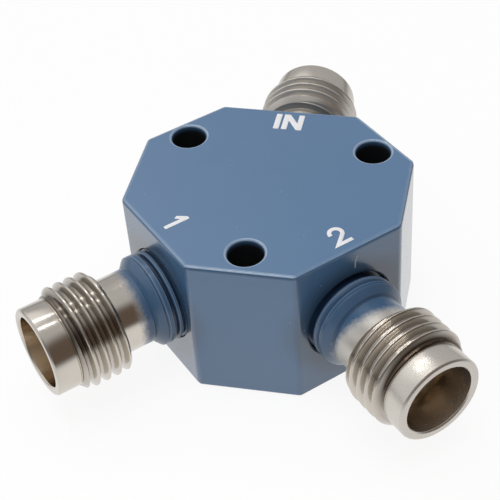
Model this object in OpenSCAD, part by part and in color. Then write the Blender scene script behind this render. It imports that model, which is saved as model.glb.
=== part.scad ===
// Three-port coaxial power splitter.
// A painted eight-sided metal housing carries a jack on three of its sides and has three through
// holes for screws. Inside, a thin-film splitter on a ceramic plate joins the three jacks.
// The origin lies on the base, under the point where the three port axes meet.
// +Z points up and +Y points towards the input port. All sizes are in millimetres.

/* [Housing] */
// Height of the housing
body_h = 10.6; // [9.6:0.1:14]
// From the axis crossing to the plain left and right sides
side_d = 9; // [8.6:0.1:12]
// From the axis crossing to the plain front side
front_d = 9; // [8.6:0.1:12]
// From the axis crossing to the two plain rear diagonal sides
rear_d = 8.5; // [8.2:0.1:10]
// From the axis crossing to the input side
in_face_d = 7.35; // [7:0.05:9]
// From the axis crossing to the two output sides
out_face_d = 8.75; // [8.2:0.05:10]
// Chamfer along the top and bottom edges
edge_break = 0.25; // [0.1:0.05:0.5]

/* [Mounting holes] */
// Diameter of the circle that the holes lie on
hole_pcd = 14.4; // [13.8:0.1:15]
// Diameter of each through hole
hole_d = 2.3; // [1.8:0.1:2.6]
// Chamfer at both mouths of each hole
hole_break = 0.12; // [0.05:0.01:0.2]

/* [Bottom cover] */
// Thickness of the cover
cover_t = 1.2; // [0.9:0.1:1.6]
// Metal left between the mounting holes and the cover's recess
cover_wall = 0.55; // [0.4:0.05:0.8]
// How far the cover sits back from the base
cover_set = 0.05; // [0.02:0.01:0.15]
// Thread diameter of a cover screw
screw_d = 1.4; // [1.2:0.1:1.6]
// Head diameter of a cover screw
screw_head_d = 2.4; // [2:0.1:2.8]
// Overall length of a cover screw
screw_len = 3; // [2.4:0.1:3.6]
// From the edge of the cover to a screw's axis
screw_inset = 1.5; // [1.4:0.1:1.8]
// Width of the slot in a screw head
slot_w = 0.3; // [0.2:0.05:0.4]
// Depth of the slot in a screw head
slot_depth = 0.25; // [0.15:0.05:0.35]

/* [Jack shells] */
// Diameter of the thread that a cable's nut runs on
thread_d = 6.98; // [6.6:0.01:7.4]
// Length of that thread
thread_len = 3.35; // [3:0.05:4.6]
// Distance from one turn of that thread to the next
thread_pitch = 0.75; // [0.7:0.05:0.9]
// Depth of the groove between two turns
thread_depth = 0.41; // [0.3:0.01:0.45]
// From the rear end of the thread to the middle of its first groove
thread_first = 0.5; // [0.45:0.05:0.7]
// Chamfer at the rear end of the thread
thread_break = 0.1; // [0.05:0.01:0.15]
// Chamfer at the front end of the thread, where the nut is started
thread_lead = 0.5; // [0.3:0.05:0.6]
// Diameter of the plain nose beyond the thread
nose_d = 5.95; // [5.6:0.05:6.1]
// Length of the nose
nose_len = 1.6; // [1.4:0.1:2.4]
// Chamfer round the rim of the nose
rim_break = 0.12; // [0.05:0.01:0.2]
// Diameter of the shank behind the thread
shank_d = 5.1; // [4.6:0.1:5.6]
// Length of the shank
shank_len = 2.25; // [1.6:0.05:2.6]
// Diameter of the root, which screws into the housing
root_d = 6.2; // [6:0.05:6.6]
// Depth of the root inside the housing
root_len = 3.2; // [2.8:0.1:3.4]
// Length of the root that shows outside the housing
root_show = 1.2; // [0.8:0.05:1.6]
// Length of the cone from the root down to the shank
root_cone = 0.55; // [0.3:0.05:0.8]
// Chamfer where a jack enters the housing
port_break = 0.2; // [0.1:0.05:0.3]

/* [Coaxial line] */
// Diameter of the socket at the front of a jack
socket_d = 4.77; // [4.6:0.01:5]
// Depth of that socket
socket_depth = 2.8; // [2.2:0.1:3.2]
// Lead-in chamfer at the mouth of the socket
socket_break = 0.1; // [0.05:0.01:0.15]
// Bore of the outer conductor
line_d = 2.4; // [2.2:0.05:2.6]
// Diameter of the centre contact
contact_d = 1.04; // [0.96:0.01:1.12]
// How far the contact stops short of the mating plane
contact_set = 0.05; // [0.02:0.01:0.1]
// Bore at the front of the contact, for the cable's pin
contact_bore_d = 0.55; // [0.5:0.01:0.6]
// Depth of that bore
contact_bore_depth = 2; // [1.6:0.1:2.4]
// Width of the slits that make the contact springy
slit_w = 0.12; // [0.08:0.01:0.16]
// Length of the slits
slit_len = 1.7; // [1.2:0.1:2]
// Diameter of the contact where the support bead grips it
waist_d = 0.84; // [0.76:0.01:0.9]

/* [Support bead] */
// Outside diameter of the support bead and of the sleeve behind it
bead_d = 3.2; // [2.9:0.05:3.4]
// Length of the support bead
bead_len = 1.5; // [1.2:0.1:1.8]
// From the side of the housing out to the front of the support bead
bead_out = 1; // [0.6:0.05:1.2]
// Diameter of the relief holes through the support bead
relief_d = 0.45; // [0.3:0.05:0.5]
// Number of relief holes
relief_count = 6; // [4:1:6]

/* [Glass seal] */
// Outside diameter of the seal's metal ring
ring_d = 1.95; // [1.8:0.05:2.1]
// Inside diameter of the ring
ring_bore_d = 1.55; // [1.4:0.05:1.6]
// Length of the ring
ring_len = 1.4; // [1.2:0.1:1.5]
// Diameter of the pin through the glass
pin_d = 0.3; // [0.24:0.02:0.36]
// Length of pin that goes into the centre contact
pin_front = 1.3; // [1:0.1:1.5]
// Length of pin that lies under the plate
pin_tail = 0.8; // [0.5:0.1:1]

/* [Splitter plate] */
// Width of the channel that the plate lies in
channel_w = 2.4; // [2:0.1:2.8]
// Thickness of the ceramic plate
plate_t = 0.25; // [0.2:0.05:0.4]
// Thickness of the metal films
film_t = 0.02; // [0.01:0.01:0.04]
// Width of the conductor lines
film_w = 0.24; // [0.2:0.02:0.4]
// Radius of the pad where the lines meet
hub_r = 0.35; // [0.3:0.05:0.5]
// Length of each film resistor
resistor_len = 0.6; // [0.4:0.05:0.8]
// Width of each film resistor
resistor_w = 0.4; // [0.3:0.05:0.6]
// From the edge of the plate to the end of a line
film_inset = 0.1; // [0.05:0.05:0.2]

/* [Fits] */
// Radial gap of the jack's root in its thread
thread_gap = 0.05; // [0.02:0.01:0.1]
// Gap round the cover and the cover screws
cover_gap = 0.05; // [0.02:0.01:0.1]
// Radial gap of the pieces fitted inside a jack
slip_gap = 0.01; // [0.005:0.005:0.02]
// Gap that a joint of solder, cement or glass fills
bond_gap = 0.01; // [0.005:0.005:0.02]
// Gap at the side and the end of the plate
plate_gap = 0.1; // [0.05:0.05:0.15]
// Gap between the contact and the glass seal
seal_gap = 0.1; // [0.05:0.05:0.2]
// Room beyond the tip of a screw or a pin
tip_gap = 0.2; // [0.1:0.05:0.3]

/* [Hidden] */
$fn = 96;

// How far a cutting shape runs past the surface that it cuts
over = 1;

// Port numbers, the way that each port faces and the distance to its side of the housing
IN = 0;
OUT_1 = 1;
OUT_2 = 2;
port_angles = [90, 225, 315];
port_faces = [in_face_d, out_face_d, out_face_d];
port_z = body_h / 2;

// The eight sides as pairs of facing direction and distance, counter-clockwise from +X
sides = [
    [0, side_d], [45, rear_d], [90, in_face_d], [135, rear_d],
    [180, side_d], [225, out_face_d], [270, front_d], [315, out_face_d]
];
side_reach = 2 * max(side_d, front_d, rear_d, in_face_d, out_face_d);

// Mounting holes
hole_angles = [30, 150, 270];

// Cover, set between the mounting holes
recess_d = hole_pcd - hole_d - 2 * cover_wall;
cover_d = recess_d - 2 * cover_gap;
recess_depth = cover_set + cover_t;
screw_r = cover_d / 2 - screw_inset;
screw_angles = [22.5, 157.5, 270];
screw_cone = (screw_head_d - screw_d) / 2;

// Stations along a jack, from the side of the housing outwards
shank_at = root_show + root_cone;
thread_at = shank_at + shank_len;
nose_at = thread_at + thread_len;
jack_end = nose_at + nose_len;
mating_at = jack_end - socket_depth;

// Grooves of the coupling thread, with the flanks and the flat foot of a metric thread
thread_flank = 30;
groove_foot = thread_pitch / 4;
groove_w = groove_foot + 2 * thread_depth * tan(thread_flank);
groove_count = 1 + floor((thread_len - thread_first - groove_w / 2) / thread_pitch);
groove_stations = [for (i = [0 : groove_count - 1]) thread_at + thread_first + i * thread_pitch];

// Stations of the pieces inside a jack
bead_back = bead_out - bead_len;
contact_back = seal_gap - root_len;
contact_front = mating_at - contact_set;
seal_back = -root_len - ring_len;

// Relief holes of a support bead, evenly spaced
relief_angles = [for (i = [1 : relief_count]) i * 360 / relief_count];

// Heights of the layers over the pins
film_z = port_z + pin_d / 2 + bond_gap;
plate_z = film_z + film_t;
roof_z = plate_z + plate_t;
plate_w = channel_w - 2 * plate_gap;

// Distance from the axis crossing to the end of a port's channel and of its plate arm
function channel_end(port) = port_faces[port] - root_len - ring_len;
function plate_end(port) = channel_end(port) - plate_gap;

// Corner where two sides meet, each given as a facing direction and a distance
function corner(a, b) =
    let (turn = sin(b[0] - a[0]))
    [(a[1] * sin(b[0]) - b[1] * sin(a[0])) / turn, (b[1] * cos(a[0]) - a[1] * cos(b[0])) / turn];

paint = [0.36, 0.47, 0.58];
steel = [0.74, 0.72, 0.69];
gold = [0.85, 0.69, 0.36];
ceramic = [0.94, 0.94, 0.91];
resin = [0.9, 0.88, 0.8];
glass = [0.45, 0.56, 0.52];
resistive = [0.28, 0.27, 0.3];

// Puts its children at a port, with +Z outwards along the port axis and z = 0 on the housing's side
module at_port(port) {
    rotate([0, 0, port_angles[port]])
        translate([port_faces[port], 0, port_z])
            rotate([0, 90, 0])
                children();
}

// Puts its children at a given radius and at each of the given directions
module round_the_centre(radius, angles) {
    for (angle = angles)
        rotate([0, 0, angle])
            translate([radius, 0, 0])
                children();
}

// A strip along a port axis, from one distance to another, centred on the axis
module strip(port, from, to, width, z, thickness) {
    rotate([0, 0, port_angles[port]])
        translate([from, -width / 2, z])
            cube([to - from, width, thickness]);
}

// A round hole or rod along +Z between two stations
module rod(diameter, from, to) {
    translate([0, 0, from])
        cylinder(d = diameter, h = to - from);
}

// A tube along +Z between two stations
module tube(outer_d, inner_d, from, to) {
    difference() {
        rod(outer_d, from, to);
        rod(inner_d, from - over, to + over);
    }
}

// A 45 degree countersink that opens along +Z, with its mouth at z = 0
module countersink(diameter, depth) {
    translate([0, 0, -depth])
        cylinder(d1 = diameter, d2 = diameter + 2 * (depth + over), h = depth + over);
}

// The wedges that chamfer the upper edge of every side, with the edge at z = 0
module edge_wedges() {
    for (side = sides)
        rotate([0, 0, side[0]])
            translate([side[1], 0, -edge_break])
                rotate([0, -45, 0])
                    translate([0, -side_reach, 0])
                        cube([side_reach, 2 * side_reach, side_reach]);
}

module housing_block() {
    difference() {
        linear_extrude(height = body_h)
            polygon([for (i = [0 : len(sides) - 1]) corner(sides[i], sides[(i + 1) % len(sides)])]);
        translate([0, 0, body_h])
            edge_wedges();
        mirror([0, 0, 1])
            edge_wedges();
    }
}

module mounting_hole() {
    rod(hole_d, -over, body_h + over);
    translate([0, 0, body_h])
        countersink(hole_d, hole_break);
    mirror([0, 0, 1])
        countersink(hole_d, hole_break);
}

// Threaded hole for a jack, with the smaller hole for the glass seal at its floor
module port_hole() {
    rod(root_d + 2 * thread_gap, -root_len, over);
    countersink(root_d + 2 * thread_gap, port_break);
    rod(ring_d + 2 * bond_gap, seal_back, 0);
}

// Painted metal housing, milled from one block
module housing() {
    color(paint)
        difference() {
            housing_block();
            round_the_centre(hole_pcd / 2, hole_angles)
                mounting_hole();
            for (port = [IN, OUT_1, OUT_2]) {
                at_port(port)
                    port_hole();
                strip(port, 0, channel_end(port), channel_w, -over, roof_z + over);
            }
            rod(channel_w, -over, roof_z);
            rod(recess_d, -over, recess_depth);
            round_the_centre(screw_r, screw_angles)
                rod(screw_d + 2 * cover_gap, 0, cover_set + screw_len + tip_gap);
        }
}

// Round cover in the underside, which closes the channel
module bottom_cover() {
    color(paint)
        difference() {
            rod(cover_d, cover_set, recess_depth);
            round_the_centre(screw_r, screw_angles) {
                rod(screw_d + 2 * cover_gap, 0, recess_depth + over);
                translate([0, 0, cover_set])
                    mirror([0, 0, 1])
                        countersink(screw_d + 2 * cover_gap, screw_cone);
            }
        }
}

// Slotted countersunk screws of the cover
module cover_screws() {
    color(steel)
        round_the_centre(screw_r, screw_angles)
            difference() {
                union() {
                    rod(screw_d, cover_set, cover_set + screw_len);
                    translate([0, 0, cover_set])
                        cylinder(d1 = screw_head_d, d2 = screw_d, h = screw_cone);
                }
                translate([-screw_head_d, -slot_w / 2, cover_set - over])
                    cube([2 * screw_head_d, slot_w, slot_depth + over]);
            }
}

// Ceramic plate with an arm to each port, cemented to the roof of the channel
module splitter_plate() {
    color(ceramic) {
        for (port = [IN, OUT_1, OUT_2])
            strip(port, 0, plate_end(port), plate_w, plate_z, plate_t);
        rod(plate_w, plate_z, roof_z);
    }
}

// Conductor of the input, with the pad where the two resistors start
module conductor_in() {
    color(gold) {
        strip(IN, 0, plate_end(IN) - film_inset, film_w, film_z, film_t);
        rod(2 * hub_r, film_z, plate_z);
    }
}

// Conductor of an output, from its resistor to the edge of the plate
module conductor_out(port) {
    color(gold)
        strip(port, hub_r + resistor_len, plate_end(port) - film_inset, film_w, film_z, film_t);
}

// Film resistor between the pad and the conductor of an output
module film_resistor(port) {
    color(resistive)
        difference() {
            strip(port, 0, hub_r + resistor_len, resistor_w, film_z, film_t);
            rod(2 * hub_r, film_z - over, plate_z + over);
        }
}

// Ring that cuts one groove of the coupling thread, centred on z = 0
module thread_groove() {
    crest_r = thread_d / 2;
    foot_r = crest_r - thread_depth;
    rotate_extrude()
        polygon([
            [foot_r, -groove_foot / 2],
            [crest_r, -groove_w / 2],
            [crest_r + over, -groove_w / 2],
            [crest_r + over, groove_w / 2],
            [crest_r, groove_w / 2],
            [foot_r, groove_foot / 2]
        ]);
}

// Turned shell of a jack: root, shank, thread and nose outside, socket and line bore inside
module jack_shell(port) {
    color(steel)
        at_port(port)
            difference() {
                rotate_extrude()
                    polygon([
                        [0, -root_len],
                        [root_d / 2, -root_len],
                        [root_d / 2, root_show],
                        [shank_d / 2, shank_at],
                        [shank_d / 2, thread_at],
                        [thread_d / 2 - thread_break, thread_at],
                        [thread_d / 2, thread_at + thread_break],
                        [thread_d / 2, nose_at - thread_lead],
                        [max(nose_d / 2, thread_d / 2 - thread_lead), nose_at],
                        [nose_d / 2, nose_at],
                        [nose_d / 2, jack_end - rim_break],
                        [nose_d / 2 - rim_break, jack_end],
                        [0, jack_end]
                    ]);
                for (station = groove_stations)
                    translate([0, 0, station])
                        thread_groove();
                rod(socket_d, mating_at, jack_end + over);
                translate([0, 0, jack_end])
                    countersink(socket_d, socket_break);
                rod(line_d, -root_len - over, jack_end);
                rod(bead_d + 2 * slip_gap, -root_len - over, bead_out);
            }
}

// Sleeve that holds the support bead and carries the line bore on to the glass seal
module line_sleeve(port) {
    color(steel)
        at_port(port)
            tube(bead_d, line_d, -root_len, bead_back);
}

// Plastic bead that carries the centre contact, drilled to keep its share of the line light
module support_bead(port) {
    waist_bore = waist_d + 2 * slip_gap;
    color(resin)
        at_port(port)
            difference() {
                tube(bead_d, waist_bore, bead_back, bead_out);
                round_the_centre((bead_d + waist_bore) / 4, relief_angles)
                    rod(relief_d, bead_back - over, bead_out + over);
            }
}

// Centre contact with a waist for its bead, a slit socket in front and a plain one behind
module centre_contact(port) {
    color(gold)
        at_port(port)
            difference() {
                rod(contact_d, contact_back, contact_front);
                tube(2 * contact_d, waist_d, bead_back - slip_gap, bead_out + slip_gap);
                rod(contact_bore_d, contact_front - contact_bore_depth, contact_front + over);
                rod(pin_d + 2 * slip_gap, contact_back - over, pin_front + tip_gap - root_len);
                for (turn = [0, 90])
                    rotate([0, 0, turn])
                        translate([-contact_d, -slit_w / 2, contact_front - slit_len])
                            cube([2 * contact_d, slit_w, slit_len + over]);
            }
}

// Metal ring of the glass seal, soldered into the housing
module seal_ring(port) {
    color(gold)
        at_port(port)
            tube(ring_d, ring_bore_d, seal_back, -root_len);
}

// Glass between the ring and its pin
module seal_glass(port) {
    color(glass)
        at_port(port)
            tube(ring_bore_d - 2 * bond_gap, pin_d + 2 * bond_gap, seal_back, -root_len);
}

// Pin through the glass, from the centre contact to the plate's conductor
module seal_pin(port) {
    color(gold)
        at_port(port)
            rod(pin_d, seal_back - pin_tail, pin_front - root_len);
}

housing();
bottom_cover();
cover_screws();
splitter_plate();
conductor_in();
conductor_out(OUT_1);  // conductor_1
conductor_out(OUT_2);  // conductor_2
film_resistor(OUT_1);  // film_resistor_1
film_resistor(OUT_2);  // film_resistor_2
jack_shell(IN);  // jack_shell_in
jack_shell(OUT_1);  // jack_shell_1
jack_shell(OUT_2);  // jack_shell_2
line_sleeve(IN);  // line_sleeve_in
line_sleeve(OUT_1);  // line_sleeve_1
line_sleeve(OUT_2);  // line_sleeve_2
support_bead(IN);  // support_bead_in
support_bead(OUT_1);  // support_bead_1
support_bead(OUT_2);  // support_bead_2
centre_contact(IN);  // centre_contact_in
centre_contact(OUT_1);  // centre_contact_1
centre_contact(OUT_2);  // centre_contact_2
seal_ring(IN);  // seal_ring_in
seal_ring(OUT_1);  // seal_ring_1
seal_ring(OUT_2);  // seal_ring_2
seal_glass(IN);  // seal_glass_in
seal_glass(OUT_1);  // seal_glass_1
seal_glass(OUT_2);  // seal_glass_2
seal_pin(IN);  // seal_pin_in
seal_pin(OUT_1);  // seal_pin_1
seal_pin(OUT_2);  // seal_pin_2
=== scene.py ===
# %% [markdown]
# # A three-port power splitter
# The real object is a small milled block, painted blue, with a steel coaxial jack screwed into three
# of its sides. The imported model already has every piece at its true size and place, in metres, so this
# lesson only dresses it. It could hide the whole model behind new meshes, but pieces whose shape is
# right as they are get a finish and stay, and only what shows most is modelled again.

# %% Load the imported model
import math

import bmesh
import bpy
from mathutils import Matrix, Vector


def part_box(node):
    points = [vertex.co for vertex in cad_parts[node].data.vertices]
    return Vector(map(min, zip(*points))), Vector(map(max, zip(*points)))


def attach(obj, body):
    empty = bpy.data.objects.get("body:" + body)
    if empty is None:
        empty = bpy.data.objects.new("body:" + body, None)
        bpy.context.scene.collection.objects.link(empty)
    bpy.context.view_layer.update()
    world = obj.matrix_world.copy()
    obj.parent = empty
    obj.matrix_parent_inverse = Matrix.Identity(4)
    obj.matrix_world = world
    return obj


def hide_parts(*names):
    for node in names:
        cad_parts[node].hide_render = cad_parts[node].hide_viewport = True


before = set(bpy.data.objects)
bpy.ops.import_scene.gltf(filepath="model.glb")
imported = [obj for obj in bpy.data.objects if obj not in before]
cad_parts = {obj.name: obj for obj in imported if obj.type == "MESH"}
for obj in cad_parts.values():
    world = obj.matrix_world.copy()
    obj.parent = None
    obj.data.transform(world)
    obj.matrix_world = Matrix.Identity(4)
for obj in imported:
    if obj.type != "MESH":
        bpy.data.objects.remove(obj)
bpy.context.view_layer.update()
MM = 0.001

# %% [markdown]
# ## Camera
# The photograph looks down on the block from the front, a little from the right, with a long lens. The
# place below was found by fitting the block's corners, its holes and the rims of the jacks. A camera
# could be turned with three angles, but a place, a point to look at and a roll are easier to read.

# %% Camera
camera_place = Vector((15.914, -64.223, 64.497)) * MM
camera_target = Vector((-1.347, -1.184, 5.20)) * MM
camera_roll = math.radians(-4.792)

scene = bpy.context.scene
camera_data = bpy.data.cameras.new("camera")
camera_data.lens = 95.19
camera_data.sensor_width = 36
camera_data.clip_start = 5 * MM
camera = bpy.data.objects.new("camera", camera_data)
look = (camera_target - camera_place).to_track_quat("-Z", "Y").to_matrix().to_4x4()
camera.matrix_world = Matrix.Translation(camera_place) @ look @ Matrix.Rotation(camera_roll, 4, "Z")
scene.collection.objects.link(camera)
scene.camera = camera
scene.view_settings.view_transform = "Standard"
print("camera to target in mm:", round((camera_target - camera_place).length / MM, 1))

# %% [markdown]
# ## A helper for node trees
# Every finish below is a small graph of shader nodes. Each node could take four or five lines to make,
# set and wire up, so one helper does it: a value that is a socket is linked, and any other is set.

# %% Node helper
def add_node(tree, kind, inputs=None, **settings):
    node = tree.nodes.new("ShaderNode" + kind)
    for name, value in settings.items():
        setattr(node, name, value)
    for name, value in (inputs or {}).items():
        if isinstance(value, bpy.types.NodeSocket):
            tree.links.new(value, node.inputs[name])
        else:
            node.inputs[name].default_value = value
    return node


def add_math(tree, operation, a, b=0.0):
    return add_node(tree, "Math", {0: a, 1: b}, operation=operation).outputs[0]


def add_vector_math(tree, operation, a, b=(0, 0, 0)):
    """A step with vectors. A length and a dot product give a number, and any other step a vector."""
    node = add_node(tree, "VectorMath", {0: a, 1: b}, operation=operation)
    return node.outputs["Value" if operation in ("LENGTH", "DOT_PRODUCT") else "Vector"]


def smooth_step(tree, value, start, end):
    ends = {"Value": value, "From Min": start, "From Max": end}
    return add_node(tree, "MapRange", ends, interpolation_type="SMOOTHSTEP").outputs["Result"]


def mix_colour(tree, share, first, second):
    mix = add_node(tree, "Mix", data_type="RGBA")
    for socket, value in ((mix.inputs[0], share), (mix.inputs[6], first), (mix.inputs[7], second)):
        if isinstance(value, bpy.types.NodeSocket):
            tree.links.new(value, socket)
        else:
            socket.default_value = value
    return mix.outputs[2]


def noted(tree, name):
    """A number that the mesh keeps on its vertices or faces."""
    return add_node(tree, "Attribute", attribute_name=name).outputs["Fac"]


def grey(level):
    return (level, level, level, 1)


# %% [markdown]
# ## Studio
# Polished steel has no colour of its own to speak of: it shows the room. The photograph's steel shows a
# white sheet below, a window high on the left, pale walls on the left and behind, and a dark corner on
# the right. The room could be built from cards, but a world whose brightness depends on the direction
# gives the same picture with soft borders. The camera itself sees plain white.

# %% World
room_light = 0.18
room_sides = {
    "wall_behind": ((0, 0.9, 0.45), 0.20, 0.75, grey(0.49)),
    "ceiling": ((0, 0, 1), 0.50, 0.85, grey(0.55)),
    "wall_left": ((-0.95, 0.0, 0.30), 0.60, 0.92, grey(0.72)),
    "window": ((-0.58, 0.36, 0.73), 0.82, 0.95, grey(1.00)),
    "dark_corner": ((0.86, -0.44, 0.24), 0.55, 0.92, (0.135, 0.100, 0.078, 1)),
}

world = bpy.data.worlds.new("studio")
scene.world = world
world.use_nodes = True
tree = world.node_tree
tree.nodes.clear()
direction = add_node(tree, "TexCoord").outputs["Generated"]


def facing(tree, direction, side, rim, core):
    """How much a direction points to a side, from 0 outside the rim to 1 inside the core."""
    return smooth_step(tree, add_vector_math(tree, "DOT_PRODUCT", direction, side), rim, core)


room = grey(room_light)
for side, rim, core, light in room_sides.values():
    share = facing(tree, direction, Vector(side).normalized(), rim, core)
    room = mix_colour(tree, share, room, light)
path = add_node(tree, "LightPath").outputs
plain = add_math(tree, "MAXIMUM", path["Is Camera Ray"], path["Is Transmission Ray"])
shown = mix_colour(tree, plain, room, grey(1.0))
background = add_node(tree, "Background", {"Color": shown})
add_node(tree, "OutputWorld", {"Surface": background.outputs[0]})
print("world:", room_light, "and", {name: side[3][0] for name, side in room_sides.items()})

# %% [markdown]
# The sheet under the object is white to the camera, with a share of real shading left in, so that the
# object still has a shadow. To the object it is a white sheet that ends a little way off. It lies a hair
# lower than the base, because two faces in one plane would flicker.

# %% Floor
floor_half = 600 * MM
floor_drop = 0.02 * MM
sheet_white = 11 * MM
sheet_edge = 80 * MM
sheet_near = 0.97
sheet_far = 0.30
sheet_bounce = 0.50
sheet_seen = 0.95
camera_share = 0.90

bm = bmesh.new()
bmesh.ops.create_grid(bm, x_segments=1, y_segments=1, size=floor_half)
bmesh.ops.translate(bm, vec=(0, 0, -floor_drop), verts=bm.verts)
floor_mesh = bpy.data.meshes.new("floor")
bm.to_mesh(floor_mesh)
bm.free()
floor = bpy.data.objects.new("floor", floor_mesh)
scene.collection.objects.link(floor)

floor_finish = bpy.data.materials.new("white_sheet")
floor_finish.use_nodes = True
tree = floor_finish.node_tree
tree.nodes.clear()
place = add_node(tree, "TexCoord").outputs["Object"]
fade = smooth_step(tree, add_vector_math(tree, "LENGTH", place), sheet_white, sheet_edge)
sheet = mix_colour(tree, fade, grey(sheet_near), grey(sheet_far))
path = add_node(tree, "LightPath").outputs
plain = add_math(tree, "MAXIMUM", path["Is Camera Ray"], path["Is Transmission Ray"])
shown = add_math(tree, "MAXIMUM", plain, path["Is Glossy Ray"])
matt_colour = mix_colour(tree, path["Is Camera Ray"], grey(sheet_bounce), grey(sheet_seen))
matt = add_node(tree, "BsdfDiffuse", {"Color": matt_colour}).outputs[0]
glow = add_node(tree, "Emission", {"Color": mix_colour(tree, plain, sheet, grey(1.0))}).outputs[0]
share = add_math(tree, "MULTIPLY", shown, camera_share)
mixed = add_node(tree, "MixShader", {0: share, 1: matt, 2: glow}).outputs[0]
add_node(tree, "OutputMaterial", {"Surface": mixed})
floor_mesh.materials.append(floor_finish)
print("floor: half width in mm", floor_half / MM)

# %% [markdown]
# ## Lamps
# Two thin tubes overhead draw the pair of bright lines along each jack. A large soft lamp above lights
# the top, and a small one in front fills the front side. Point lamps would draw dots in the steel, so the
# tubes are area lamps, whose own shape shows there, and the other two are kept out of reflections.

# %% Lamps
def area_lamp(name, from_direction, distance, size, size_y, power, along, in_steel=True):
    lamp_data = bpy.data.lights.new(name, "AREA")
    lamp_data.shape = "RECTANGLE"
    lamp_data.size = size
    lamp_data.size_y = size_y
    lamp_data.energy = power
    lamp_data.cycles.max_bounces = 0
    lamp = bpy.data.objects.new(name, lamp_data)
    towards = Vector(from_direction).normalized()
    side = Vector(along).cross(towards).normalized()
    upright = towards.cross(side)
    turn = Matrix((side, upright, towards)).transposed().to_4x4()
    lamp.matrix_world = Matrix.Translation(towards * distance) @ turn
    lamp.visible_camera = False
    lamp.visible_glossy = in_steel
    scene.collection.objects.link(lamp)
    return lamp


tube_line = (1, 1, 0)
tube_far = 200 * MM
tube_width = 9 * MM
tube_length = 120 * MM
tube_watts = 0.020
soft_far = 250 * MM
soft_width = 160 * MM
soft_watts = 0.215
fill_far = 40 * MM
fill_width = 12 * MM
fill_length = 20 * MM
fill_watts = 0.0026
level = (1, 0, 0)
for name, way in (("tube_over", (-0.07, 0.07, 1.0)), ("tube_behind", (-0.35, 0.35, 0.87))):
    area_lamp(name, way, tube_far, tube_width, tube_length, tube_watts, tube_line)
area_lamp(
    "soft_lamp", (0, -0.20, 0.98), soft_far, soft_width, soft_width, soft_watts, level, in_steel=False
)
area_lamp(
    "fill_lamp", (0, -1, 0.12), fill_far, fill_width, fill_length, fill_watts, level, in_steel=False
)

# %% [markdown]
# ## Paint
# The block was sprayed with a satin blue paint. Close up, sprayed paint is not flat: it has a faint orange
# peel and its colour drifts a little. A painted highlight runs pale along the front edge of the top, with
# a painted shade just below it. An image could hold that, but noise on the object's own coordinates needs
# no unwrapping and has its scale in real millimetres. Where the edges are comes from a number on every
# face, above 0 for the painted highlight and below 0 for the painted shade, which the block gets below.

# %% Paint
paint_blue = (0.078, 0.179, 0.336, 1)
paint_blue_deep = (0.070, 0.166, 0.317, 1)
# Pale painted highlight for the front edges and the lips of the holes.
paint_highlight = (0.58, 0.68, 0.80, 1)
# Dark painted shade below the edges and round the roots of the jacks.
painted_shade_blue = (0.025, 0.050, 0.090, 1)
paint_ior = 1.6
paint_coat = 0.8
coat_rough = 0.12
paint_rough = (0.20, 0.30)
paint_drift = 2.5 * MM
peel_size = 0.22 * MM
peel_depth = 0.006 * MM


def noise(tree, place, size, detail=2.0, rough=0.5):
    node = add_node(
        tree, "TexNoise", {"Vector": place, "Scale": 1 / size, "Detail": detail, "Roughness": rough}
    )
    return node.outputs["Fac"]


def new_finish(name):
    finish = bpy.data.materials.new(name)
    finish.use_nodes = True
    finish.node_tree.nodes.clear()
    return finish, finish.node_tree, add_node(finish.node_tree, "TexCoord").outputs["Object"]


def bump(tree, height, depth, strength=1.0):
    return add_node(tree, "Bump", {"Height": height, "Distance": depth, "Strength": strength}).outputs[0]


def surface(tree, **inputs):
    names = {key: "IOR" if key == "ior" else key.replace("_", " ").title() for key in inputs}
    shader = add_node(tree, "BsdfPrincipled", {names[key]: inputs[key] for key in inputs})
    add_node(tree, "OutputMaterial", {"Surface": shader.outputs[0]})
    return shader


def paint_colour(tree, place):
    return mix_colour(tree, noise(tree, place, paint_drift), paint_blue_deep, paint_blue)


def spread(tree, value, low, high):
    """Carries a value from 0 to 1 over to a plain range."""
    return add_math(tree, "ADD", add_math(tree, "MULTIPLY", value, high - low), low)


def by_sign(tree, value, base, above, below):
    """Mixes in one colour where a value is above 0 and another where it is below."""
    up = add_math(tree, "MAXIMUM", value, 0.0)
    down = add_math(tree, "MAXIMUM", add_math(tree, "MULTIPLY", value, -1.0), 0.0)
    return mix_colour(tree, down, mix_colour(tree, up, base, above), below)


print("paint:", paint_blue[:3])

# %% [markdown]
# ## Housing
# The block started as a bar of metal, was milled to eight sides, drilled, and tumbled so that its edges
# are slightly round. The same order works here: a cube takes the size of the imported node, four planes
# cut its corners off, a bevel rounds every edge, and Boolean cuts drill it. The distances to the sides
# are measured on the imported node, so the new block can't drift from it.

# %% Port places
port_turn = {"in": 90, "1": 225, "2": 315}


def reach(node, turn):
    way = Vector((math.cos(math.radians(turn)), math.sin(math.radians(turn)), 0))
    return max(v.co.dot(way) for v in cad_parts[node].data.vertices)


housing_low, housing_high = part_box("housing")
port_height = (housing_low.z + housing_high.z) / 2
port_face = {port: reach("housing", turn) for port, turn in port_turn.items()}


def port_frame(port):
    turn = Matrix.Rotation(math.radians(port_turn[port]), 4, "Z")
    out = Matrix.Translation((port_face[port], 0, port_height))
    return turn @ out @ Matrix.Rotation(math.radians(90), 4, "Y")


print("port faces in mm:", {port: round(face / MM, 2) for port, face in port_face.items()})

# %% [markdown]
# Round the roots of the jacks the block's paint is darkened by a painted shade. How far a place lies from
# the axis of a port tells where, so the finish of the block is built now that the ports are known.

# %% Block paint
shade_near = 3.3 * MM
shade_far = 5.2 * MM
shade_share = 0.75
port_side = (6 * MM, 9 * MM)
highlight_spots = (0.5, 1.2)


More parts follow.
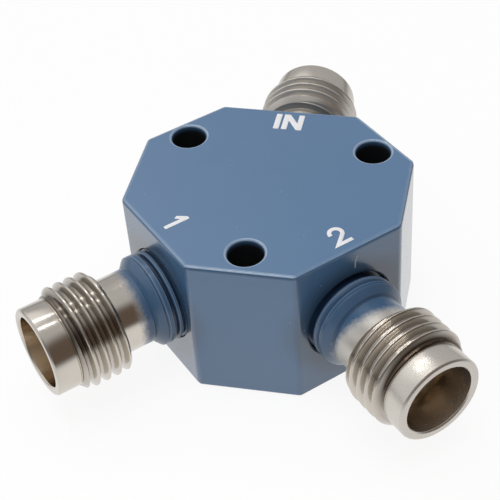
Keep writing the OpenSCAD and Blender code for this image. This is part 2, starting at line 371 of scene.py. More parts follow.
def near_port(tree, place):
    """1 next to the axis of any port, on the port's own side of the block, and 0 further off."""
    centred = add_vector_math(tree, "SUBTRACT", place, (0, 0, port_height))
    nearest = 0.0
    for turn in port_turn.values():
        way = (math.cos(math.radians(turn)), math.sin(math.radians(turn)), 0)
        away = add_vector_math(tree, "LENGTH", add_vector_math(tree, "CROSS_PRODUCT", centred, way))
        along = add_vector_math(tree, "DOT_PRODUCT", centred, way)
        near = smooth_step(tree, away, shade_far, shade_near)
        near = add_math(tree, "MULTIPLY", near, smooth_step(tree, along, *port_side))
        nearest = add_math(tree, "MAXIMUM", nearest, near)
    return nearest


paint, tree, place = new_finish("blue_paint")
edge = noted(tree, "edge")
spotty = spread(tree, noise(tree, place, 0.5 * MM, 3.0), *highlight_spots)
# Painted highlight where the edge number is above 0, painted shade where it is below.
edge_light = add_math(tree, "MULTIPLY", edge, spotty)
# Painted shade round the roots of the jacks.
share = add_math(tree, "MULTIPLY", near_port(tree, place), shade_share)
port_shaded = mix_colour(tree, share, paint_colour(tree, place), painted_shade_blue)
surface(
    tree,
    base_color=by_sign(tree, edge_light, port_shaded, paint_highlight, painted_shade_blue),
    roughness=spread(tree, noise(tree, place, 0.9 * MM), *paint_rough),
    normal=bump(tree, noise(tree, place, peel_size, 1.0), peel_depth, 0.3),
    ior=paint_ior,
    coat_weight=paint_coat,
    coat_roughness=coat_rough,
)
print("finish:", paint.name)

# %% [markdown]
# Drills, jacks, cover and screws are all round. A cylinder could stand for the plain ones, but not for a
# stepped or flared one, so a helper does what a lathe does: it draws half the section as a line, rounds
# its corners where asked, and spins it round the Z axis. Another gives each finished piece its material.

# %% Turning helper
weld = 0.0005 * MM
soft_steps = 3


def drawn(outline, closed=False):
    """Draws an outline of (radius, height) points as edges of a new mesh."""
    bm = bmesh.new()
    corners = [bm.verts.new((radius, 0, height)) for radius, height in outline]
    following = corners[1:] + corners[:1] if closed else corners[1:]
    for a, b in zip(corners, following):
        bm.edges.new((a, b))
    return bm, corners


def soften(bm, corners, offset):
    """Rounds corners of a drawn outline."""
    bmesh.ops.bevel(
        bm, geom=corners, offset=offset, offset_type="OFFSET", segments=soft_steps, profile=0.5,
        affect="VERTICES", material=-1, clamp_overlap=True,
    )


def turned(outline, steps, soft=0.0):
    """Spins an outline that starts and ends on the axis, with its other corners rounded if asked."""
    bm, corners = drawn(outline)
    if soft:
        soften(bm, corners[1:-1], soft)
    spin_profile(bm, steps)
    return bm


def spin_profile(bm, steps, merge=weld):
    bmesh.ops.spin(
        bm, geom=bm.verts[:] + bm.edges[:], cent=(0, 0, 0), axis=(0, 0, 1), dvec=(0, 0, 0),
        angle=math.tau, steps=steps, use_merge=True, use_normal_flip=False, use_duplicate=False,
    )
    bmesh.ops.remove_doubles(bm, verts=bm.verts, dist=merge)
    bmesh.ops.recalc_face_normals(bm, faces=bm.faces)


def to_object(bm, name, matrix=None):
    mesh = bpy.data.meshes.new(name)
    bm.to_mesh(mesh)
    bm.free()
    if matrix is not None:
        mesh.transform(matrix)
    piece = bpy.data.objects.new(name, mesh)
    scene.collection.objects.link(piece)
    return piece


def dress(piece, finish, crease=35, nodes=()):
    """Gives a piece its finish and its shading, and seats it on the frame."""
    piece.data.materials.clear()
    piece.data.materials.append(finish)
    piece.data.shade_smooth()
    piece.data.set_sharp_from_angle(angle=math.radians(crease))
    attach(piece, "root")
    if nodes:
        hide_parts(*nodes)
    print("piece:", piece.name, "faces", len(piece.data.polygons))
    return piece


# %% Block with eight sides
edge_round = 0.26 * MM
edge_steps = 4

bm = bmesh.new()
bmesh.ops.create_cube(bm, size=1)
bmesh.ops.scale(bm, vec=housing_high - housing_low, verts=bm.verts)
bmesh.ops.translate(bm, vec=(housing_low + housing_high) / 2, verts=bm.verts)
for turn in (45, 135, 225, 315):
    way = Vector((math.cos(math.radians(turn)), math.sin(math.radians(turn)), 0))
    cut = bmesh.ops.bisect_plane(
        bm, geom=bm.verts[:] + bm.edges[:] + bm.faces[:], dist=weld,
        plane_co=way * reach("housing", turn), plane_no=way, clear_outer=True,
    )
    rim = [e for e in cut["geom_cut"] if isinstance(e, bmesh.types.BMEdge)]
    bmesh.ops.contextual_create(bm, geom=rim)
bmesh.ops.recalc_face_normals(bm, faces=bm.faces)
bmesh.ops.bevel(
    bm, geom=bm.edges[:], offset=edge_round, offset_type="OFFSET", segments=edge_steps, profile=0.5,
    affect="EDGES", material=-1,
)
housing = to_object(bm, "housing_block")
print("block: sides", 8, "faces", len(housing.data.polygons))

# %% [markdown]
# A drill leaves a round hole with a broken edge. The cutters of the mounting holes and the ports are
# turned shapes whose mouths flare by the width of that broken edge, so one cut makes both. The recess and
# the screw holes have plain round cutters, and the channels of the circuit have boxes.

# %% Cutters
past_face = 1.0 * MM
hole_r = 1.15 * MM
hole_circle_r = 7.2 * MM
hole_turns = (30, 150, 270)
hole_lip = 0.18 * MM
root_hole_r = 3.15 * MM
root_depth = 3.2 * MM
port_lip = 0.12 * MM
seal_hole_r = 0.985 * MM
seal_depth = 4.6 * MM
channel_w = 2.4 * MM
channel_roof = 5.73 * MM
recess_r = 5.5 * MM
recess_depth = 1.25 * MM
screw_hole_r = 0.75 * MM
screw_hole_depth = 3.25 * MM
screw_circle_r = 3.95 * MM
screw_turns = (22.5, 157.5, 270)
hole_steps = 96
recess_steps = 128
hub_steps = 48
screw_steps = 32


def on_circle(radius, turn):
    return Matrix.Rotation(math.radians(turn), 4, "Z") @ Matrix.Translation((radius, 0, 0))


def flared(radius, lip, mouth):
    """The outline of a drill that leaves a round lip at the mouth, which faces +Z."""
    angles = [math.radians(a) for a in (0, 30, 60, 90)]
    lip_arc = [(radius + lip * (1 - math.cos(a)), mouth - lip * (1 - math.sin(a))) for a in angles]
    return lip_arc + [(radius + lip, mouth + past_face)]


top_mouth = flared(hole_r, hole_lip, housing_high.z)
low_mouth = [(r, housing_low.z + housing_high.z - z) for r, z in reversed(top_mouth)]
bolt_drill = [(0, low_mouth[0][1])] + low_mouth + top_mouth + [(0, top_mouth[-1][1])]
port_drill = [(0, -seal_depth), (seal_hole_r, -seal_depth), (seal_hole_r, -root_depth)]
port_drill += [(root_hole_r, -root_depth)] + flared(root_hole_r, port_lip, 0) + [(0, past_face)]


def straight(radius, low, high):
    """The outline of a plain round bar or drill."""
    return [(0, low), (radius, low), (radius, high), (0, high)]


recess_drill = straight(recess_r, -past_face, recess_depth)
hub_drill = straight(channel_w / 2, -past_face, channel_roof)
screw_drill = straight(screw_hole_r, 0, screw_hole_depth)
cutters = [(turned(bolt_drill, hole_steps), on_circle(hole_circle_r, turn)) for turn in hole_turns]
cutters += [(turned(port_drill, hole_steps), port_frame(port)) for port in port_turn]
cutters.append((turned(recess_drill, recess_steps), Matrix.Identity(4)))
cutters.append((turned(hub_drill, hub_steps), Matrix.Identity(4)))
cutters += [(turned(screw_drill, screw_steps), on_circle(screw_circle_r, turn)) for turn in screw_turns]
for port, turn in port_turn.items():
    bm = bmesh.new()
    bmesh.ops.create_cube(bm, size=1)
    length = port_face[port] - seal_depth
    bmesh.ops.scale(bm, vec=(length, channel_w, channel_roof + past_face), verts=bm.verts)
    bmesh.ops.translate(bm, vec=(length / 2, 0, (channel_roof - past_face) / 2), verts=bm.verts)
    cutters.append((bm, Matrix.Rotation(math.radians(turn), 4, "Z")))
print("cutters:", len(cutters))

# %% Drill the block
def apply_modifiers(piece):
    made = piece.evaluated_get(bpy.context.evaluated_depsgraph_get())
    finished = bpy.data.meshes.new_from_object(made)
    piece.modifiers.clear()
    piece.data = finished


def cut_with(piece, tools):
    """Cuts a piece by Boolean differences and throws the tools away."""
    for tool in tools:
        cut = piece.modifiers.new("cut", "BOOLEAN")
        cut.operation = "DIFFERENCE"
        cut.solver = "EXACT"
        cut.object = tool
    apply_modifiers(piece)
    for tool in tools:
        bpy.data.objects.remove(tool)


cut_with(housing, [to_object(bm, "cutter", matrix) for bm, matrix in cutters])
weighted = housing.modifiers.new("flat_sides", "WEIGHTED_NORMAL")
weighted.keep_sharp = True
dress(housing, paint, nodes=["housing"])

# %% [markdown]
# A painted highlight lies on the upper part of the front edges, with a painted shade below it, and a
# fainter painted highlight lies on the lips of the mounting holes. The edge marks are told by a face's
# tilt: a line drawn through a few points turns it into the number for the paint, which fades to a quarter
# towards the back. The walls of the holes carry a painted shade: a second finish on them fades from paint
# to near black with depth.

# %% Painted edge highlights and shaded holes
# Painted highlight (above 0) and painted shade (below 0), read off a face's tilt.
highlight_by_tilt = (
    (0.0, 0.0), (0.10, -0.9), (0.62, -1.0), (0.75, 1.0), (0.90, 1.0), (0.999, 0.2), (1.0, 0.0),
)
lip_highlight = 0.4
lip_tilt = (0.5, 0.999)
highlight_front = ((-13 * MM, 1.0), (-11.5 * MM, 1.0), (-7 * MM, 0.25), (13 * MM, 0.25))
spray_reach = 0.55 * MM
# Painted shade deep in the mounting holes.
hole_shade = (0.010, 0.011, 0.013, 1)
hole_rough = (0.45, 0.65)
wall_slack = 1.02
wall_tilt = 0.5


def on_line(points, x):
    """Reads a value off a line drawn through (x, y) points."""
    for (x0, y0), (x1, y1) in zip(points, points[1:]):
        if x0 <= x <= x1:
            return y0 + (y1 - y0) * (x - x0) / (x1 - x0)
    return 0.0


hole_places = [on_circle(hole_circle_r, turn).to_translation() for turn in hole_turns]


def from_hole(face):
    return min((face.center.xy - spot.xy).length for spot in hole_places)


def in_hole(face):
    """True on the upright wall of a mounting hole."""
    return from_hole(face) < hole_r * wall_slack and abs(face.normal.z) < wall_tilt


def edge_light_at(face):
    if from_hole(face) < hole_r + hole_lip:
        return lip_highlight * (lip_tilt[0] < face.normal.z < lip_tilt[1])
    return on_line(highlight_by_tilt, face.normal.z) * on_line(highlight_front, face.center.y)


hole_wall, tree, place = new_finish("dark_hole_wall")
height = add_node(tree, "SeparateXYZ", {0: place}).outputs["Z"]
below_top = smooth_step(tree, height, housing_high.z, housing_high.z - spray_reach)
above_base = smooth_step(tree, height, housing_low.z, housing_low.z + spray_reach)
# Painted shade: near black between the two mouths of a hole.
shade_depth = add_math(tree, "MULTIPLY", below_top, above_base)
surface(
    tree,
    base_color=mix_colour(tree, shade_depth, paint_colour(tree, place), hole_shade),
    roughness=spread(tree, noise(tree, place, 0.3 * MM), *hole_rough),
    normal=bump(tree, noise(tree, place, 0.08 * MM), 0.004 * MM, 0.5),
)

edge_light_values = [edge_light_at(face) for face in housing.data.polygons]
housing.data.attributes.new("edge", "FLOAT", "FACE").data.foreach_set("value", edge_light_values)
housing.data.materials.append(hole_wall)
walls = [face for face in housing.data.polygons if in_hole(face)]
for face in walls:
    face.material_index = 1
print("edge faces:", sum(w != 0 for w in edge_light_values), "hole wall faces:", len(walls))

# %% [markdown]
# ## Steel with a mist of paint
# The jacks were masked roughly and sprayed together with the block, so the root of each is blue and the
# blue ends on the shank in a ragged mist. Two materials on two faces would give a hard border. Instead
# each shell keeps a few numbers on every vertex: its distance from the side of the block in millimetres,
# how far it lies past the border of the mist, how dusty it is there, how much painted shade it gets in a
# groove of the thread, and whether it lies in the bore. One finish fades from paint to steel by the
# second, with noise to tear the border, draws the fine rings of the lathe by the first, makes the steel
# dull, paler and less metallic by the dust, and darkens it to brown, a painted shade, in the grooves and
# the bore. The blue on the jacks is a darker copy of the block's paint, a painted shade. On the painted
# root, one more number is above 0 on a ridge, for a painted highlight, and below 0 in a groove, for a
# painted shade.

# %% Steel
steel_light = (0.700, 0.655, 0.595, 1)
steel_warm = (0.635, 0.585, 0.520, 1)
mist_soft = 0.42
mist_tear = 0.34
mist_grain = 0.30 * MM
# Painted shade: brown deep in the grooves of the thread.
groove_brown = (0.10, 0.075, 0.056, 1)
# Painted shade down the bore, browner and darker than the steel.
bore_shade_brown = (0.56, 0.475, 0.375, 1)
steel_dusty = (0.80, 0.785, 0.75, 1)
dust_tint = 0.6
dust_rough = 0.3
dust_cover = 0.4
# The jacks' blue is a darker copy of the block's paint, a painted shade on the roots.
jack_paint_shaded = (0.058, 0.120, 0.218, 1)
jack_paint_shaded_deep = (0.050, 0.108, 0.200, 1)
# Painted highlight on the ridges of the root and painted shade in its grooves.
jack_paint_ridge_highlight = (0.24, 0.32, 0.44, 1)
jack_paint_groove_shade = (0.012, 0.029, 0.070, 1)
jack_paint_rough = 0.27
ring_size = 0.06
ring_rough = (0.08, 0.20)
speckle_rough = (0.0, 0.06)
relief_depth = 0.0015 * MM


def ring_marks(tree, station, size):
    """The fine rings that a lathe leaves, as a height that changes along the axis only."""
    node = add_node(
        tree, "TexNoise", {"W": station, "Scale": 1 / size, "Detail": 3.0, "Roughness": 0.6},
        noise_dimensions="1D",
    )
    return node.outputs["Fac"]


jack_steel, tree, place = new_finish("turned_steel_with_mist")
dust = noted(tree, "dust")
tear = add_math(tree, "SUBTRACT", noise(tree, place, mist_grain, 5.0, 0.7), 0.5)
torn = add_math(tree, "ADD", noted(tree, "past_mist"), add_math(tree, "MULTIPLY", tear, 2 * mist_tear))
bare = smooth_step(tree, torn, -mist_soft, mist_soft)
metal = mix_colour(tree, noise(tree, place, 1.5 * MM, 3.0), steel_warm, steel_light)
# Painted shade: brown in the grooves of the thread.
metal = mix_colour(tree, noted(tree, "groove"), metal, groove_brown)
# Painted shade: brown in the bore.
metal = mix_colour(tree, noted(tree, "bore"), metal, bore_shade_brown)
metal = mix_colour(tree, add_math(tree, "MULTIPLY", dust, dust_tint), metal, steel_dusty)
# Painted shade: the jacks' blue is darker than the block's.
sprayed = mix_colour(tree, noise(tree, place, paint_drift), jack_paint_shaded_deep, jack_paint_shaded)
# Painted highlight on the root's ridges, painted shade in its grooves.
sprayed = by_sign(tree, noted(tree, "ridge_light"), sprayed, jack_paint_ridge_highlight, jack_paint_groove_shade)
rings = ring_marks(tree, noted(tree, "station"), ring_size)
speckle = noise(tree, place, 0.09 * MM, 2.0)
steel_rough = spread(tree, rings, *ring_rough)
steel_rough = add_math(tree, "ADD", steel_rough, spread(tree, speckle, *speckle_rough))
steel_rough = add_math(tree, "ADD", steel_rough, add_math(tree, "MULTIPLY", dust, dust_rough))
paint_share = add_math(tree, "SUBTRACT", 1.0, bare)
steel_part = add_math(tree, "MULTIPLY", steel_rough, bare)
rough = add_math(tree, "ADD", steel_part, add_math(tree, "MULTIPLY", paint_share, jack_paint_rough))
grain = add_math(tree, "MULTIPLY", noise(tree, place, 0.07 * MM, 2.0), 0.4)
relief = add_math(tree, "ADD", add_math(tree, "MULTIPLY", rings, bare), grain)
surface(
    tree,
    base_color=mix_colour(tree, bare, sprayed, metal),
    metallic=add_math(tree, "MULTIPLY", bare, spread(tree, dust, 1.0, 1.0 - dust_cover)),
    roughness=rough,
    normal=bump(tree, relief, relief_depth, 0.6),
    ior=paint_ior,
)
print("finish:", jack_steel.name)

# %% [markdown]
# ## Jack shells
# A jack's shell is turned from one bar, so it is one outline spun round its axis. The coupling thread and
# the ring grooves of the root are cut afterwards. A thread could be swept as a coil, but then its ends
# would have to be trimmed. Here the spun shell gets many rings where those cuts are, and each vertex moves
# in to the depth of the cut at its own place and angle. The lathe's chamfers stay the upper limit, which
# makes the thread run out at its ends as a cut one does. The rear chamfer is broadest on the input jack.
# The outline is written in millimetres from the side of the block.

# %% Shell outline
root_r = 3.10
root_hidden = -0.40
root_show = 1.24
foot_groove_at = 1.74
foot_groove_r = 2.47
foot_groove_w = 0.10
foot_lip = 0.08
foot_slope = 0.09
shank_r = 2.55
shank_at = 1.86
thread_r = 3.49
thread_at = 4.00
thread_break = {"in": 0.46, "1": 0.20, "2": 0.24}
thread_lead = 0.50
nose_r = 2.975
nose_at = 7.35
undercut_r = 2.88
lead_lip = 0.08
lead_end = 0.09
undercut_w = 0.06
nose_slope = 0.03
jack_end = (reach("jack_shell_1", port_turn["1"]) - port_face["1"]) / MM
rim_break = 0.12
socket_r = 2.385
socket_floor = 6.15
socket_break = 0.10
line_r = 1.20
bead_r = 1.61
bead_front = 1.00
root_end = -root_depth / MM


def shell_outline(port):
    """The half section of a shell, as a closed line of (radius, station) corners."""
    rear = thread_break[port]
    return [
        (bead_r, root_end), (root_r, root_end), (root_r, root_hidden), (root_r, root_show),
        (shank_r + foot_lip, foot_groove_at - foot_slope), (foot_groove_r, foot_groove_at),
        (shank_r, shank_at), (shank_r, thread_at),
        (thread_r - rear, thread_at), (thread_r, thread_at + rear),
        (thread_r, nose_at - thread_lead), (nose_r + lead_lip, nose_at - lead_end),
        (undercut_r, nose_at - undercut_w), (undercut_r, nose_at), (nose_r, nose_at + nose_slope),
        (nose_r, jack_end - rim_break), (nose_r - rim_break, jack_end),
        (socket_r + socket_break, jack_end), (socket_r, jack_end - socket_break),
        (socket_r, socket_floor), (line_r, socket_floor),
        (line_r, bead_front), (bead_r, bead_front),
    ]


print("shell: jack end in mm", round(jack_end, 2), "corners", len(shell_outline("1")))

# %% Threads
thread_pitch = 0.75
thread_depth = 0.43
thread_foot = 0.25
thread_crest = 0.88
flank_round = 0.3
rings_per_pitch = 24
root_ring = 0.02
shell_steps = 160
slack = 0.01
skin_depth = 0.05
long_edge = 0.25
thread_clear = 0.02
last_groove = (6.5, 6.9)
shade_fade_below = (-0.2, 0.6)
shade_below = 0.3
# Painted highlight on a ridge and painted shade in a groove of the root.
ridge_highlight = 0.5
ridge_w = 0.07
groove_dark_at = 0.20


def ease(value, start, end):
    """Goes smoothly from 0 at the start to 1 at the end."""
    share = min(1, max(0, (value - start) / (end - start)))
    return share * share * (3 - 2 * share)


def vee(turns):
    """Height from 0 to 1 of a vee thread with a flat at the foot and at the crest."""
    slope = 1 - abs(2 * (turns % 1) - 1)
    height = min(1, max(0, (slope - thread_foot) / (thread_crest - thread_foot)))
    return flank_round * ease(height, 0, 1) + (1 - flank_round) * height


def thread_radius(station, turn, phase):
    return thread_r - thread_depth * (1 - vee(station / thread_pitch - turn + phase))


def root_radius(station, grooves):
    """The root next to the block, with a few grooves of (station, half width, flat share, depth)."""
    cuts = [depth * (1 - ease(abs(station - at), flat * half, half)) for at, half, flat, depth in grooves]
    return root_r - max(cuts)


def root_ridge_light(station, grooves, depth):
    """Above 0 for a painted highlight on the narrow ridge beside a groove, below 0 for a painted shade in
    its depth.
    """
    beside = min(abs(abs(station - at) - half) for at, half, flat, deepest in grooves)
    return ridge_highlight * (1 - ease(beside, 0, ridge_w)) - min(1, depth / groove_dark_at)


def add_rings(bm, low, high, radius, size):
    """Cuts the straight stretch of the outline between two stations into rings."""
    long_edges = [
        e for e in bm.edges
        if all(low - slack < v.co.z < high + slack and v.co.x > radius for v in e.verts)
        and e.calc_length() > long_edge
    ]
    for edge in long_edges:
        bmesh.ops.subdivide_edges(bm, edges=[edge], cuts=max(2, int(edge.calc_length() / size)))


def cut_threads(bm, port):
    """Moves the rings in to the thread and the root grooves, and notes what the finish has to know."""
    groove = bm.verts.layers.float.new("groove")
    bore = bm.verts.layers.float.new("bore")
    ridge_light = bm.verts.layers.float.new("ridge_light")
    for v in bm.verts:
        radius = math.hypot(v.co.x, v.co.y)
        turn = math.atan2(v.co.y, v.co.x) / math.tau
        if thread_at - slack < v.co.z < nose_at + slack and radius > nose_r + thread_clear:
            wanted = min(radius, thread_radius(v.co.z, turn, thread_phase[port]))
            # Painted shade in the thread's grooves, strongest in the last one and weaker on the lower
            # side.
            shade = groove_dirt[port] + last_groove_dirt[port] * ease(v.co.z, *last_groove)
            shade *= shade_below + (1 - shade_below) * ease(-v.co.x / radius, *shade_fade_below)
            v[groove] = (thread_r - wanted) / thread_depth * shade
        elif root_hidden < v.co.z < root_show and radius > root_r - skin_depth:
            wanted = min(radius, root_radius(v.co.z, root_grooves[port]))
            v[ridge_light] = root_ridge_light(v.co.z, root_grooves[port], root_r - wanted)
        elif abs(v.co.z - foot_groove_at) < foot_groove_w and radius > foot_groove_r - skin_depth:
            v[ridge_light] = -foot_shade[port]
            continue
        else:
            v[bore] = float(radius < socket_r + slack and v.co.z < jack_end - socket_break)
            continue
        v.co.x *= wanted / radius
        v.co.y *= wanted / radius


print("thread: pitch in mm", thread_pitch, "depth", thread_depth, "rings per pitch", rings_per_pitch)

# %% [markdown]
# The three jacks were screwed in by hand, so each thread starts at its own angle, and the spray reached a
# little further along one side of each. That is set per port: the thread's phase as a share of a turn, the
# grooves of its root, the border of the mist with the side that it leans to, its painted shade in the
# grooves and at the foot, and its dust. One set of values for all would look like copies.

# %% Turn the shells
corner_soft = 0.035
thread_phase = {"in": 0.23, "1": 0.17, "2": 0.04}
root_grooves = {
    "in": ((0.04, 0.15, 0.3, 0.24), (0.54, 0.19, 0.3, 0.28), (1.13, 0.09, 0.2, 0.07)),
    "1": ((0.04, 0.15, 0.3, 0.24), (0.54, 0.19, 0.3, 0.28), (1.13, 0.09, 0.2, 0.07)),
    "2": ((0.02, 0.38, 0.8, 0.42), (0.74, 0.22, 0.3, 0.07)),
}
mist_border = {"in": 2.40, "1": 2.42, "2": 2.45}
mist_lean = {"in": 0.20, "1": 0.10, "2": 0.70}
lean_turn = {"in": 180, "1": 90, "2": 135}
# Painted shade in the thread grooves, per port.
groove_dirt = {"in": 0.42, "1": 0.50, "2": 0.52}
last_groove_dirt = {"in": 0.2, "1": 0.3, "2": 0.5}
# Painted shade in the groove at the foot of the root, per port.
foot_shade = {"in": 0.2, "1": 0.0, "2": 0.35}
dust_shank = {"in": 0.2, "1": 0.0, "2": 1.2}
dust_thread = {"in": 0.50, "1": 0.0, "2": 0.0}
dust_nose = {"in": 0.1, "1": 0.0, "2": 0.35}
dust_fade = (0.3, 1.6)


def past_border(vertex, port):
    around = math.atan2(vertex.co.y, vertex.co.x) - math.radians(lean_turn[port])
    return vertex.co.z - mist_border[port] - mist_lean[port] * math.cos(around)


def dust_at(station, past, port):
    """Dust on the shank fades away from the mist. The thread and the nose have their own share."""
    if station < thread_at:
        return max(dust_nose[port], dust_shank[port] * (1 - ease(past, *dust_fade)))
    return dust_thread[port] if station < nose_at else dust_nose[port]


for port in port_turn:
    bm, corners = drawn(shell_outline(port), closed=True)
    soften(bm, corners, corner_soft)
    add_rings(bm, thread_at, nose_at, nose_r - skin_depth, thread_pitch / rings_per_pitch)
    add_rings(bm, root_hidden, root_show, root_r - skin_depth, root_ring)
    spin_profile(bm, shell_steps, weld / MM)
    cut_threads(bm, port)
    bmesh.ops.recalc_face_normals(bm, faces=bm.faces)
    shell = to_object(bm, "turned_shell_" + port)
    stations = [v.co.z for v in shell.data.vertices]
    past_mist = [past_border(v, port) for v in shell.data.vertices]
    dust = [dust_at(at, past, port) for at, past in zip(stations, past_mist)]
    for name, values in (("station", stations), ("past_mist", past_mist), ("dust", dust)):
        shell.data.attributes.new(name, "FLOAT", "POINT").data.foreach_set("value", values)
    shell.data.transform(port_frame(port) @ Matrix.Scale(MM, 4))
    dress(shell, jack_steel, crease=50, nodes=["jack_shell_" + port])

# %% [markdown]
# ## Port marks
# IN, 1 and 2 are printed on the top in thick white ink, each upright when its own port points down or up.
# Lettering could come from a font, but these are stencil-plain strokes, so each is a short outline: the
# straight ones from a few corners, and the 2 from its centre line, which a helper widens to a stroke. An
# outline becomes a face, its corners are rounded, and it is extruded by the thickness of the ink.

# %% Ink
ink_thin = (0.78, 0.78, 0.81, 1)
ink_full = (0.90, 0.90, 0.92, 1)

ink, tree, place = new_finish("white_ink")
surface(
    tree,
    base_color=mix_colour(tree, noise(tree, place, 0.25 * MM, 3.0), ink_thin, ink_full),
    roughness=spread(tree, noise(tree, place, 0.2 * MM), 0.40, 0.55),
    normal=bump(tree, noise(tree, place, 0.1 * MM), 0.003 * MM, 0.5),
)


def widened(line, width):
    """The outline of a stroke of one width along a line of points, with mitred corners."""
    left, right = [], []
    for i, point in enumerate(line):
        near = line[max(0, i - 1):i + 2]
        ways = [(b - a).normalized() for a, b in zip(near, near[1:])]
        across = sum((Vector((-way.y, way.x)) for way in ways), Vector((0, 0))).normalized()
        reach_out = width / 2 / across.dot(Vector((-ways[0].y, ways[0].x)))
        left.append(point + across * reach_out)
        right.append(point - across * reach_out)
    return left + right[::-1]


def arc(centre, radius, start, end, steps):
    """Points on an arc, with its angles in degrees."""
    angles = [math.radians(start + (end - start) * i / steps) for i in range(steps + 1)]
    return [Vector(centre) + radius * Vector((math.cos(a), math.sin(a))) for a in angles]


def raised_mark(name, outlines, thickness, corner, place):
    """Flat outlines in millimetres, extruded off the surface that the matrix lies on."""
    bm = bmesh.new()
    for outline in outlines:
        bm.faces.new([bm.verts.new((point[0], point[1], 0)) for point in outline])
    bmesh.ops.recalc_face_normals(bm, faces=bm.faces)
    if corner:
        bmesh.ops.bevel(
            bm, geom=bm.verts[:], offset=corner, offset_type="OFFSET", segments=2, profile=0.5,
            affect="VERTICES", material=-1, clamp_overlap=True,
        )
    raised = bmesh.ops.extrude_face_region(bm, geom=bm.faces[:], use_keep_orig=True)["geom"]
    tops = [v for v in raised if isinstance(v, bmesh.types.BMVert)]
    bmesh.ops.translate(bm, verts=tops, vec=(0, 0, thickness))
    bmesh.ops.recalc_face_normals(bm, faces=bm.faces)
    rim = [e for e in bm.edges if all(v.co.z > thickness / 2 for v in e.verts)]
    bmesh.ops.bevel(
        bm, geom=rim, offset=thickness * 0.5, offset_type="OFFSET", segments=2, profile=0.5,
        affect="EDGES", material=-1, clamp_overlap=True,
    )
    return to_object(bm, name, place @ Matrix.Scale(MM, 4))


def lying(right, up, at):
    """The frame of a flat mark: where its right and its up point, and a place on its surface."""
    right, up = Vector(right).normalized(), Vector(up).normalized()
    frame_axes = Matrix((right, up, right.cross(up))).transposed().to_4x4()
    return Matrix.Translation(at) @ frame_axes


print("finish:", ink.name)

# %% Print the marks
ink_thickness = 0.02
ink_corner = 0.05
stroke_w = 0.27
letter_i = [(-0.81, 5.19), (-0.42, 5.19), (-0.42, 6.84), (-0.81, 6.84)]
letter_n = [
    (-0.26, 5.19), (0.12, 5.19), (0.12, 6.18), (0.76, 5.19), (1.13, 5.19), (1.13, 6.84), (0.75, 6.84),
    (0.75, 5.92), (0.15, 6.84), (-0.26, 6.84),
]
figure_1 = [
    (0.02, -7.92), (0.32, -7.92), (0.32, -6.17), (0.08, -6.17), (-0.38, -6.72), (-0.24, -6.98),
    (0.02, -6.68),
]
line_2 = arc((0.30, -6.94), 0.41, 188, -50, 14)
line_2 += [Vector((-0.20, -7.93)), Vector((0.86, -7.93))]
figure_2 = widened(line_2, stroke_w)
top_centre = Vector((0, 0, housing_high.z))
marks = {
    "mark_in": ([letter_i, letter_n], lying((1, 0, 0), (0, 1, 0), top_centre)),
    "mark_1": ([figure_1], lying((1, -1, 0), (1, 1, 0), top_centre)),
    "mark_2": ([figure_2], lying((1, 1, 0), (-1, 1, 0), top_centre)),
}
for name, (outlines, place) in marks.items():
    dress(raised_mark(name, outlines, ink_thickness, ink_corner, place), ink, crease=60)

# %% [markdown]
# One side has a short pale scrape above its port. It is a bent sliver that stands off the paint by less
# than the ink does, made in the same way, in a paler tone of the paint.

# %% Scrape
scrape_w = 0.09
scrape_height = 0.008
scrape_dull = (0.38, 0.39, 0.45, 1)
scrape_pale = (0.60, 0.60, 0.67, 1)
scrape_line = [Vector((0.62, 9.90)), Vector((0.52, 9.70)), Vector((0.45, 9.45)), Vector((0.42, 9.00))]
scrape_tone, tree, place = new_finish("scraped_paint")
surface(
    tree,
    base_color=mix_colour(tree, noise(tree, place, 0.1 * MM), scrape_dull, scrape_pale),
    roughness=spread(tree, noise(tree, place, 0.05 * MM), 0.35, 0.5),
)
side_2 = Matrix.Rotation(math.radians(port_turn["2"]), 3, "Z") @ Vector((1, 0, 0))
scrape_place = lying(Vector((0, 0, 1)).cross(side_2), (0, 0, 1), side_2 * port_face["2"])
scrape = raised_mark("pale_scrape", [widened(scrape_line, scrape_w)], scrape_height, 0, scrape_place)
dress(scrape, scrape_tone, crease=60)

# %% [markdown]
# ## Underside
# A round cover closes the recess below, held by three slotted countersunk screws. Both are turned shapes.
# The cover is painted with the block, and its screw holes are drilled by Boolean cuts. A screw's slot is
# cut once, and the finished screw is then copied to its three places in one mesh.

# %% Cover
cover_low, cover_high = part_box("bottom_cover")
cover_r = cover_high.x
cone_r = 1.25 * MM
cone_depth = cone_r - screw_hole_r
cover_soft = 0.10 * MM
sink_steps = 64

disc = straight(cover_r, cover_low.z, cover_high.z)
cover = to_object(turned(disc, recess_steps, soft=cover_soft), "recess_cover")
sink = [
    (0, cover_low.z - past_face), (cone_r + past_face, cover_low.z - past_face),
    (screw_hole_r, cover_low.z + cone_depth), (screw_hole_r, cover_high.z + past_face),
    (0, cover_high.z + past_face),
]
sink_places = [on_circle(screw_circle_r, turn) for turn in screw_turns]
cut_with(cover, [to_object(turned(sink, sink_steps), "cutter", spot) for spot in sink_places])
dress(cover, paint, nodes=["bottom_cover"])

# %% Screws
screw_r = 0.70 * MM
head_r = 1.20 * MM
slot_w = 0.30 * MM
slot_depth = 0.25 * MM
screw_soft = 0.04 * MM
screw_low, screw_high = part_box("cover_screws")

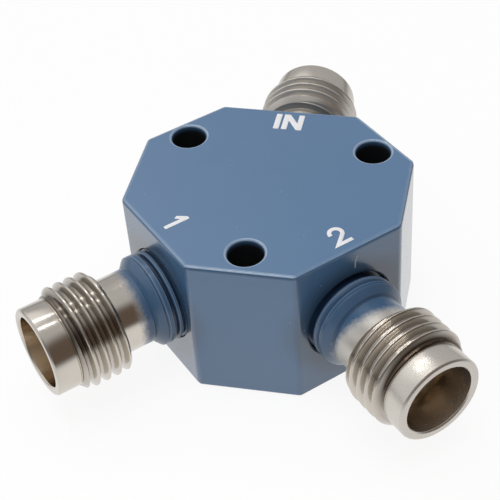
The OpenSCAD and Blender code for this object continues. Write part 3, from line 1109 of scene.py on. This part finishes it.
plain_steel, tree, place = new_finish("plain_steel")
surface(
    tree,
    base_color=mix_colour(tree, noise(tree, place, 0.6 * MM, 3.0), steel_warm, steel_light),
    metallic=1.0,
    roughness=spread(tree, noise(tree, place, 0.15 * MM, 3.0), 0.20, 0.36),
    normal=bump(tree, noise(tree, place, 0.05 * MM), 0.001 * MM, 0.5),
)
screw_outline = [
    (0, screw_low.z), (head_r, screw_low.z), (screw_r, screw_low.z + head_r - screw_r),
    (screw_r, screw_high.z), (0, screw_high.z),
]
screw = to_object(turned(screw_outline, sink_steps, soft=screw_soft), "slotted_screws")
bm = bmesh.new()
bmesh.ops.create_cube(bm, size=1)
bmesh.ops.scale(bm, vec=(3 * head_r, slot_w, 2 * slot_depth), verts=bm.verts)
bmesh.ops.translate(bm, vec=(0, 0, screw_low.z), verts=bm.verts)
cut_with(screw, [to_object(bm, "cutter")])
bm = bmesh.new()
for turn in screw_turns:
    copy = screw.data.copy()
    copy.transform(on_circle(screw_circle_r, turn))
    bm.from_mesh(copy)
    bpy.data.meshes.remove(copy)
bm.to_mesh(screw.data)
bm.free()
dress(screw, plain_steel, nodes=["cover_screws"])

# %% [markdown]
# ## Inner pieces
# The contacts, beads, seals and the plate stay as they were packed, because their shape is right. They
# only need finishes, and what shows in the mouth of a jack is a gold contact in an amber bead. Each
# finish is two close colours mixed by noise, with its own gloss, and a loop hands them out by name.

# %% Inner finishes
inner_finishes = {
    "worn_gold": ((0.72, 0.46, 0.17, 1), (0.83, 0.58, 0.26, 1), 1.0, 0.18, 0.32, 0.3 * MM),
    "film_gold": ((0.66, 0.44, 0.18, 1), (0.76, 0.54, 0.25, 1), 1.0, 0.32, 0.45, 0.08 * MM),
    "amber_resin": ((0.13, 0.060, 0.018, 1), (0.18, 0.085, 0.026, 1), 0.0, 0.30, 0.42, 0.25 * MM),
    "seal_glass": ((0.060, 0.075, 0.080, 1), (0.085, 0.105, 0.110, 1), 0.0, 0.06, 0.14, 0.4 * MM),
    "white_ceramic": ((0.78, 0.77, 0.74, 1), (0.86, 0.85, 0.82, 1), 0.0, 0.50, 0.65, 0.06 * MM),
    "resistor_film": ((0.050, 0.045, 0.042, 1), (0.085, 0.075, 0.066, 1), 0.7, 0.35, 0.50, 0.10 * MM),
}
finish_by_node = {
    "centre_contact": "worn_gold", "seal_pin": "worn_gold", "seal_ring": "worn_gold",
    "conductor": "film_gold", "support_bead": "amber_resin", "seal_glass": "seal_glass",
    "splitter_plate": "white_ceramic", "film_resistor": "resistor_film", "line_sleeve": "plain_steel",
}
for name, (first, second, metallic, smooth, dull, size) in inner_finishes.items():
    finish, tree, place = new_finish(name)
    speckle = noise(tree, place, size, 3.0)
    surface(
        tree,
        base_color=mix_colour(tree, speckle, first, second),
        metallic=metallic,
        roughness=spread(tree, speckle, smooth, dull),
        normal=bump(tree, noise(tree, place, size / 3), 0.001 * MM, 0.5),
    )

for node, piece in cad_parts.items():
    wanted = [finish for start, finish in finish_by_node.items() if node.startswith(start)]
    if wanted:
        piece.data.materials.clear()
        piece.data.materials.append(bpy.data.materials[wanted[0]])
        print("finish:", wanted[0], "on", node)
